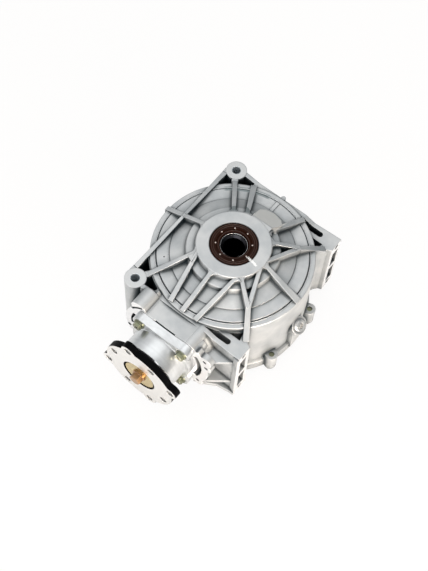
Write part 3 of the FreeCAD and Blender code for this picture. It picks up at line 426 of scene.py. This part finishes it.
def machinedFaces(tree, place, faces):
    # Mask of the flat faces that a cutter has cleaned, from (axis, level, sign of the normal)
    parts = axisParts(tree, place)
    normal = axisParts(tree, addNode(tree, "ShaderNodeTexCoord").outputs["Normal"])
    margin, leastFacing = 0.0004, 0.9
    total = None
    for axis, level, sign in faces:
        onPlane = inBand(tree, parts[axis], level - margin, level + margin)
        facing = mathNode(tree, "GREATER_THAN", times(tree, normal[axis], sign), leastFacing)
        mask = times(tree, onPlane, facing)
        total = mask if total is None else mathNode(tree, "MAXIMUM", total, mask)
    return total


def region(tree, spot, limits):
    # Product of the bands (axis, low, high, softness)
    total = None
    for axis, low, high, soft in limits:
        band = inBand(tree, spot[axis], low, high, soft)
        total = band if total is None else times(tree, total, band)
    return total


def nearAxes(tree, place, axes, radius):
    # 1 within the radius of any of the upright axes
    parts = axisParts(tree, place)
    total = None
    for x, y in axes:
        offs = [mathNode(tree, "SUBTRACT", parts[axis], at) for axis, at in (("X", x), ("Y", y))]
        reach = radiusOf(tree, *offs)
        mask = mathNode(tree, "LESS_THAN", reach, radius)
        total = mask if total is None else mathNode(tree, "MAXIMUM", total, mask)
    return total


def localTones(tree, spot, colour, spec):
    # Light, flush fan pad beside the hub, and painted shade on the tops of the ribs on the far side
    fan = region(tree, spot, spec["fanRegion"])
    colour = mixColour(tree, times(tree, fan, spec["fanShare"]), colour, spec["fan"])
    r0, z0, r1, z1 = spec["ribFall"]
    reach = radiusOf(tree, spot["X"], spot["Y"])
    line = stretch(tree, reach, r0, r1, z0, z1)
    off = mathNode(tree, "ABSOLUTE", mathNode(tree, "SUBTRACT", spot["Z"], line))
    onTop = mathNode(tree, "LESS_THAN", off, spec["ribMargin"])
    beyond = inBand(tree, reach, spec["ribStart"], r1 + spec["ribBeyond"], spec["ribFade"])
    angle = mathNode(tree, "ARCTAN2", spot["Y"], spot["X"])
    far = inBand(tree, angle, *[math.radians(edge) for edge in spec["farRibs"]], spec["farFade"])
    # Painted shade on the far rib tops
    farRibShade = times(tree, times(tree, onTop, beyond), far)
    return mixColour(tree, times(tree, farRibShade, spec["ribShade"]), colour, spec["shadedRib"])


def castMetal(name, faces, spec, painted=False):
    material, tree, shader = newMaterial(name, Metallic=spec["metallic"])
    place = objectPlace(tree)
    spot = axisParts(tree, place)
    grain = useGroup(tree, castGrain, Place=place, Size=spec["grainSize"])
    edges = useGroup(tree, wornAndGlintingEdges, Radius=spec["edgeRadius"], Gain=spec["edgeGain"])
    corners, seams, hollows = [useGroup(tree, crevice, Reach=spec[key][0], Power=spec[key][1])["Mask"]
                               for key in ("corners", "seams", "hollows")]
    gussets = region(tree, spot, spec["gussetRegion"])
    # Painted shade deep in the pockets, kept off the gussets
    deepShade = times(tree, stretch(tree, hollows, *spec["hollowSpread"]), inverse(tree, gussets))
    cornerShadeShare = mathNode(tree, "SUBTRACT", spec["cornerShadeShare"], times(tree, gussets, spec["gussetRelief"]))
    colour = mixColour(tree, stretch(tree, grain["Cloud"], *cloudSpread), spec["skin"], spec["light"])
    # Edges lightened, partly wear and partly painted highlight along the rib edges
    colour = mixColour(tree, times(tree, edges["Mask"], spec["wearAndGlintShare"]), colour, spec["edge"])
    # Painted shade in corners, less of it on the gussets
    colour = mixColour(tree, times(tree, corners, cornerShadeShare), colour, spec["cornerShade"])
    # Painted shade in tight creases
    colour = mixColour(tree, times(tree, seams, spec["seamShare"]), colour, spec["seam"])
    colour = mixColour(tree, times(tree, deepShade, spec["hollowShadeShare"]), colour, spec["hollowShade"])
    if painted:
        atTop = mathNode(tree, "GREATER_THAN", spot["Z"], spec["lugTop"] - spec["lugSkin"])
        lug = times(tree, nearAxes(tree, place, spec["lugAxes"], spec["lugRadius"]), atTop)
        colour = mixColour(tree, times(tree, lug, inverse(tree, edges["Mask"])), colour, spec["lugFace"])
        colour = localTones(tree, spot, colour, spec)
        # Painted light inside the lug bores, a pale blue-grey
        inBore = mathNode(tree, "GREATER_THAN", spot["Z"], spec["lugBoreFrom"])
        boreLight = times(tree, nearAxes(tree, place, spec["lugAxes"], spec["lugBoreRadius"]), inBore)
        colour = mixColour(tree, times(tree, boreLight, spec["lugBoreLightShare"]), colour, spec["lugBoreLight"])
    roughness = stretch(tree, grain["Cloud"], 0.0, 1.0, spec["roughness"] - spec["roughnessDown"],
                        spec["roughness"] + spec["roughnessUp"])
    bumpStrength = spec["grainBump"]
    if faces:
        cut = machinedFaces(tree, place, faces)
        colour = mixColour(tree, cut, colour, spec["machined"])
        roughness = mathNode(tree, "ADD", times(tree, roughness, inverse(tree, cut)),
                             times(tree, cut, spec["machinedRoughness"]))
        bumpStrength = times(tree, inverse(tree, cut), spec["grainBump"])
    if painted:
        colour = mixColour(tree, paintMask(tree, place, spec), colour, spec["paint"])
    link(tree, colour, shader.inputs["Base Color"])
    link(tree, roughness, shader.inputs["Roughness"])
    skin = bump(tree, grain["Height"], edges["Normal"], bumpStrength, spec["grainDepth"])
    link(tree, skin, shader.inputs["Normal"])
    return material


def paintMask(tree, place, spec):
    # Short brush stroke of marking paint from the seal out on to the hub face
    (x0, y0), (x1, y1) = spec["paintFrom"], spec["paintTo"]
    length = math.hypot(x1 - x0, y1 - y0)
    ux, uy = (x1 - x0) / length, (y1 - y0) / length
    ragged = addNode(tree, "ShaderNodeTexNoise",
                     {"Vector": place, "Scale": spec["paintGrain"], "Detail": 3.0})
    shift = times(tree, mathNode(tree, "SUBTRACT", ragged.outputs["Fac"], 0.5), spec["paintRagged"])
    parts = axisParts(tree, place)
    dx = mathNode(tree, "SUBTRACT", parts["X"], x0)
    dy = mathNode(tree, "SUBTRACT", parts["Y"], y0)
    along = mathNode(tree, "ADD", times(tree, dx, ux), times(tree, dy, uy))
    across = mathNode(tree, "SUBTRACT", times(tree, dy, ux), times(tree, dx, uy))
    width = spec["paintWidth"]
    fadeAlong, fadeAcross = spec["paintFade"]
    alongMask = inBand(tree, mathNode(tree, "ADD", along, shift), 0.0, length, fadeAlong)
    acrossMask = inBand(tree, mathNode(tree, "ADD", across, shift), -width, width, fadeAcross)
    upper = mathNode(tree, "GREATER_THAN", parts["Z"], spec["paintAbove"])
    return times(tree, times(tree, alongMask, acrossMask), upper)


plating = {
    "grainSize": 1500.0,
    "grainBump": 0.12,
    "edgeGain": 6.0,
    "tone": 0.12,
    "linePitch": 0.0006,
    "lineBump": 0.35,
    "streakShare": 0.4,
    "streakTone": 0.6,
    "roughnessDown": 0.06,
    "roughnessUp": 0.08,
    "leastRoughness": 0.05,
}


def tonePair(colour, tone, lift=0.0):
    # The colour a little darker and a little lighter
    low = tuple(part * (1 - tone) for part in colour)
    high = tuple(min(part * (1 + tone) + lift, 1) for part in colour)
    return low, high


def plainMetal(name, colour, roughness, wearAndGlint=(0.75, 0.75, 0.75), wearAndGlintAmount=0.5, lines=None, metallic=1.0,
               rounding=0.0004):
    # Machined or plated steel: turned lines where asked, worn edges (a white edge colour paints a
    # highlight), slight tone
    material, tree, shader = newMaterial(name, Metallic=metallic)
    place = objectPlace(tree)
    grain = useGroup(tree, castGrain, Place=place, Size=plating["grainSize"])
    edges = useGroup(tree, wornAndGlintingEdges, Radius=rounding, Gain=plating["edgeGain"])
    cloud = stretch(tree, grain["Cloud"], *cloudSpread)
    base = mixColour(tree, cloud, *tonePair(colour, plating["tone"]))
    wornAndGlinting = mixColour(tree, times(tree, edges["Mask"], wearAndGlintAmount), base, wearAndGlint)
    height, strength = grain["Height"], plating["grainBump"]
    if lines is not None:
        turned = useGroup(tree, turnedLines, Place=swung(tree, place, lines), Pitch=plating["linePitch"])
        height, strength = turned["Height"], plating["lineBump"]
        dull = tuple(plating["streakTone"] * part for part in colour)
        wornAndGlinting = mixColour(tree, times(tree, turned["Streak"], plating["streakShare"]), wornAndGlinting, dull)
    link(tree, wornAndGlinting, shader.inputs["Base Color"])
    smoothest = max(roughness - plating["roughnessDown"], plating["leastRoughness"])
    rough = stretch(tree, grain["Cloud"], 0.0, 1.0, smoothest, roughness + plating["roughnessUp"])
    link(tree, rough, shader.inputs["Roughness"])
    link(tree, bump(tree, height, edges["Normal"], strength, fineDepth), shader.inputs["Normal"])
    return material


def swung(tree, place, axis):
    # Turns the coordinates so that the named axis becomes Z
    if axis == "Z":
        return place
    parts = axisParts(tree, place)
    swapped = {"X": parts["X"], "Y": parts["Z"], "Z": parts["Y"]}
    return addNode(tree, "ShaderNodeCombineXYZ", swapped).outputs[0]


moulding = {
    "grainSize": 1300.0,
    "grainBump": 0.2,
    "edgeRadius": 0.0004,
    "edgeGain": 4.0,
    "tone": 0.2,
    "roughnessSwing": 0.08,
}


def moulded(name, colour, roughness, gloss=0.5, painted=False, lift=0.01):
    # Rubber, plastic and paper
    material, tree, shader = newMaterial(name, Metallic=0.0, Specular_IOR_Level=gloss)
    place = objectPlace(tree)
    grain = useGroup(tree, castGrain, Place=place, Size=moulding["grainSize"])
    edges = useGroup(tree, wornAndGlintingEdges, Radius=moulding["edgeRadius"], Gain=moulding["edgeGain"])
    base = mixColour(tree, grain["Cloud"], *tonePair(colour, moulding["tone"], lift))
    if painted:
        base = mixColour(tree, paintMask(tree, place, casting), base, casting["paint"])
    link(tree, base, shader.inputs["Base Color"])
    swing = moulding["roughnessSwing"]
    rough = stretch(tree, grain["Cloud"], 0.0, 1.0, roughness - swing, roughness + swing)
    link(tree, rough, shader.inputs["Roughness"])
    link(tree, bump(tree, grain["Height"], edges["Normal"], moulding["grainBump"], fineDepth),
         shader.inputs["Normal"])
    return material


def flangeMetal(name, face):
    # Bright turned front face and hole walls, black everywhere else; the bright hole walls are partly
    # painted highlight for their lit side
    material, tree, shader = newMaterial(name, Specular_IOR_Level=face["gloss"])
    place = objectPlace(tree)
    edges = useGroup(tree, wornAndGlintingEdges, Radius=face["edgeRadius"], Gain=face["edgeGain"])
    turned = useGroup(tree, turnedLines, Place=swung(tree, place, "Y"), Pitch=face["linePitch"])
    grain = useGroup(tree, castGrain, Place=place, Size=face["grainSize"])
    front = machinedFaces(tree, place, [("Y", face["faceLevel"], -1.0)])
    holes = []
    for reach, first in (face["outer"], face["inner"]):
        for k in range(4):
            turn = math.radians(first + 90 * k)
            holes.append((reach * math.cos(turn), reach * math.sin(turn)))
    # Hole walls bright: bare drilled metal, and painted highlight for their lit side
    litHoleWalls = nearAxes(tree, swung(tree, place, "Y"), holes, face["holeRadius"])
    front = mathNode(tree, "MAXIMUM", front, litHoleWalls)
    streaks = times(tree, turned["Streak"], face["streakShare"])
    bright = mixColour(tree, streaks, face["bright"], face["shade"])
    wearAndGlint = times(tree, edges["Mask"], face["wearAndGlintShare"])
    black = mixColour(tree, wearAndGlint, face["black"], face["shade"])
    link(tree, mixColour(tree, front, black, bright), shader.inputs["Base Color"])
    rough = stretch(tree, front, 0.0, 1.0, face["blackRoughness"], face["brightRoughness"])
    link(tree, rough, shader.inputs["Roughness"])
    link(tree, front, shader.inputs["Metallic"])
    height = mathNode(tree, "ADD", times(tree, turned["Height"], front), grain["Height"])
    link(tree, bump(tree, height, edges["Normal"], face["bump"], fineDepth), shader.inputs["Normal"])
    return material


def dress(material, *names):
    for name in names:
        slots = nodes[name].data.materials
        slots.clear()
        slots.append(material)


caseFaces = [("Y", -0.147, -1.0), ("X", 0.1033, 1.0)]
flangeLook = {
    "bright": (0.80, 0.80, 0.79),
    "shade": (0.55, 0.55, 0.54),
    "black": (0.002, 0.002, 0.0025),
    "faceLevel": -0.2064,
    "outer": (0.0571, 18.2),  # pitch radius and angle of the first hole
    "inner": (0.048, 63.2),
    "holeRadius": 0.0057,
    "edgeRadius": 0.0005,
    "edgeGain": 6.0,
    "wearAndGlintShare": 0.1,
    "linePitch": 0.0007,
    "streakShare": 0.5,
    "grainSize": 1200.0,
    "bump": 0.25,
    "gloss": 0.03,
    "blackRoughness": 0.45,
    "brightRoughness": 0.3,
}

dress(castMetal("castCase", caseFaces, casting, painted=True), "main_case")
dress(castMetal("castCover", None, casting), "side_cover")
dress(plainMetal("turnedRetainer", (0.70, 0.72, 0.73), 0.3, lines="Y", wearAndGlintAmount=0.4, metallic=0.85),
      "pinion_retainer")
dress(flangeMetal("flangeSteel", flangeLook), "drive_flange")
dress(plainMetal("goldZinc", (0.54, 0.43, 0.20), 0.25, wearAndGlint=(0.85, 0.78, 0.6), lines="Y"), "flange_washer")
dress(plainMetal("copperPlate", (0.36, 0.22, 0.12), 0.3, wearAndGlint=(0.85, 0.68, 0.5)), "flange_bolt")
dress(plainMetal("oliveZinc", (0.20, 0.21, 0.14), 0.3, wearAndGlint=(0.75, 0.75, 0.66)), "cover_bolts",
      "retainer_bolts")
dress(plainMetal("plugZinc", (0.72, 0.72, 0.71), 0.3), "drain_plug", "filler_plug")
dress(plainMetal("gearSteel", (0.36, 0.36, 0.37), 0.3), "ring_gear", "pinion_gear", "ring_gear_bolts")
# The white edge colour of the hub and spacer is painted highlight on the spline crests and rims
dress(plainMetal("oiledSteel", (0.03, 0.03, 0.034), 0.2, wearAndGlint=(1.0, 1.0, 1.0), wearAndGlintAmount=1.0,
                 rounding=0.0007), "axle_hub", "bearing_spacer")
dress(plainMetal("bearingSteel", (0.62, 0.62, 0.63), 0.2, lines="Z"),
      *[name for name in nodes if name.endswith("_race") or name.endswith("_rollers")],
      "hub_shim", "cover_dowels", "bearing_circlip")
dress(plainMetal("ventBrass", (0.62, 0.48, 0.22), 0.32), "vent_fitting")
dress(plainMetal("softAluminium", (0.74, 0.74, 0.75), 0.35), "drain_washer", "filler_washer")
dress(moulded("redSeal", (0.017, 0.0042, 0.0012), 0.16, gloss=0.06, painted=True, lift=0.0),
      "upper_axle_seal", "lower_axle_seal")
dress(moulded("blackRubber", (0.02, 0.02, 0.022), 0.5), "pinion_seal", "retainer_o_ring")
dress(moulded("gasketPaper", (0.10, 0.11, 0.10), 0.8), "cover_gasket", "retainer_gasket")
print("finishes set")


# Small pieces that the solids leave plain

sealTrim = {
    "face": 0.0828,  # top of the seal
    "pipRadius": 0.0254,
    "pipSize": 0.0011,
    "pipRise": 0.0004,
    "pipSink": 0.0001,
    "pipCount": 8,
    "pipFirst": 34.0,
    "ringRadii": (0.0312, 0.0286, 0.0219),
    "ringDrops": (0.0, 0.0, 0.0012),
    "ringThickness": 0.00035,
    "glintRadius": 0.01905,  # painted highlight on the inner rim of the splined hub
    "glintLevel": 0.07895,
    "glintThickness": 0.00022,
}


def addPiece(name, verts, faces, material, body):
    mesh = bpy.data.meshes.new(name)
    mesh.from_pydata(verts, [], faces)
    for polygon in mesh.polygons:
        polygon.use_smooth = True
    mesh.materials.append(material)
    piece = bpy.data.objects.new(name, mesh)
    bpy.context.collection.objects.link(piece)
    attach(piece, body)


def hoop(radius, level, thickness, around=96, across=10):
    # Ring of round section about Z
    verts, faces = [], []
    for i in range(around):
        turn = 2 * math.pi * i / around
        for j in range(across):
            swing = 2 * math.pi * j / across
            reach, lift = radius + thickness * math.cos(swing), thickness * math.sin(swing)
            verts.append((reach * math.cos(turn), reach * math.sin(turn), level + lift))
    for i in range(around):
        for j in range(across):
            a, b = i * across + j, i * across + (j + 1) % across
            c, d = (i + 1) % around * across + (j + 1) % across, (i + 1) % around * across + j
            faces.append((a, d, c, b))
    return verts, faces


def dome(x, y, level, size, rise, around=14, rows=5):
    # Low rounded pip, closed underneath
    verts, faces = [(x, y, level + rise)], []
    for row in range(1, rows + 1):
        lift = math.cos(math.pi / 2 * row / rows)
        reach = size * math.sin(math.pi / 2 * row / rows)
        for i in range(around):
            turn = 2 * math.pi * i / around
            verts.append((x + reach * math.cos(turn), y + reach * math.sin(turn), level + rise * lift))
    for i in range(around):
        faces.append((0, 1 + i, 1 + (i + 1) % around))
    for row in range(rows - 1):
        for i in range(around):
            a, b = 1 + row * around + i, 1 + row * around + (i + 1) % around
            faces.append((a, a + around, b + around, b))
    faces.append(tuple(reversed([1 + (rows - 1) * around + i for i in range(around)])))
    return verts, faces


def joined(shapes):
    verts, faces = [], []
    for moreVerts, moreFaces in shapes:
        start = len(verts)
        verts += moreVerts
        faces += [tuple(start + index for index in face) for face in moreFaces]
    return verts, faces


def makeSealTrim(spec):
    pips = []
    for k in range(spec["pipCount"]):
        turn = math.radians(spec["pipFirst"] + 360 / spec["pipCount"] * k)
        x, y = spec["pipRadius"] * math.cos(turn), spec["pipRadius"] * math.sin(turn)
        pips.append(dome(x, y, spec["face"] - spec["pipSink"], spec["pipSize"], spec["pipRise"]))
    # The pips' pale colour is painted highlight on the raised pips of the dark seal
    pipGlintFinish = moulded("sealPipGlints", (0.60, 0.52, 0.48), 0.25)
    addPiece("sealPipGlints", *joined(pips), pipGlintFinish, "housing")
    rings = [hoop(radius, spec["face"] - drop, spec["ringThickness"])
             for radius, drop in zip(spec["ringRadii"], spec["ringDrops"])]
    addPiece("sealRings", *joined(rings), moulded("sealRings", (0.05, 0.02, 0.012), 0.14), "housing")
    glint = hoop(spec["glintRadius"], spec["glintLevel"], spec["glintThickness"], across=8)
    addPiece("hubGlint", *glint, plainMetal("hubGlint", (0.75, 0.75, 0.75), 0.15), "axle")


makeSealTrim(sealTrim)
print("seal trim made")


rimTrim = {
    "glintHoopRadius": 0.10905,
    "glintHoopLevel": 0.0559,
    "glintHoopThickness": 0.00028,
    "pitAt": (-0.0706, -0.0652),
    "pitLevel": 0.0574,
    "pitSize": 0.0011,
    "pitRise": 0.00015,
    "pitSink": 0.00005,
}


def makeRimTrim(spec):
    # Painted highlight: a thin white hoop beside the rim groove
    glintHoop = hoop(spec["glintHoopRadius"], spec["glintHoopLevel"], spec["glintHoopThickness"], around=160, across=8)
    addPiece("rimGlintLine", *glintHoop, plainMetal("rimGlintLine", (0.95, 0.95, 0.95), 0.3), "housing")
    x, y = spec["pitAt"]
    pit = dome(x, y, spec["pitLevel"] - spec["pitSink"], spec["pitSize"], spec["pitRise"])
    addPiece("annulusPit", *pit, moulded("annulusPit", (0.01, 0.01, 0.01), 0.6), "housing")


makeRimTrim(rimTrim)
print("rim trim made")


boltTrim = {
    "across": 0.0365,  # from the pinion line
    "rise": 0.0403,
    "face": -0.1668,
    "dishRadius": 0.0036,
    "dishRise": 0.00025,
    "dishSink": 0.0001,
    "glintHoopThickness": 0.00045,
}


def swungOver(shape, x, y, z):
    # From lying on Z to facing -Y, then moved
    verts, faces = shape
    return [(x + vx, y - vz, z + vy) for vx, vy, vz in verts], faces


def makeBoltTrim(spec):
    # Dished middle of each retainer bolt head: painted shade as a dark dome with a painted highlight hoop
    # round it
    glintHoops, shadeDomes = [], []
    for sideways in (-1, 1):
        for up in (-1, 1):
            x, z = sideways * spec["across"], up * spec["rise"]
            glintHoop = hoop(spec["dishRadius"], 0.0, spec["glintHoopThickness"], around=40, across=8)
            glintHoops.append(swungOver(glintHoop, x, spec["face"], z))
            floor = dome(0, 0, -spec["dishSink"], spec["dishRadius"], spec["dishRise"], around=32, rows=3)
            shadeDomes.append(swungOver(floor, x, spec["face"], z))
    # Painted highlight hoops and painted shade domes on the bolt heads
    addPiece("boltDishGlints", *joined(glintHoops), plainMetal("boltDishGlints", (0.42, 0.42, 0.32), 0.25), "housing")
    addPiece("boltDishShade", *joined(shadeDomes), plainMetal("boltDishShade", (0.035, 0.038, 0.025), 0.4), "housing")


makeBoltTrim(boltTrim)
print("bolt trim made")
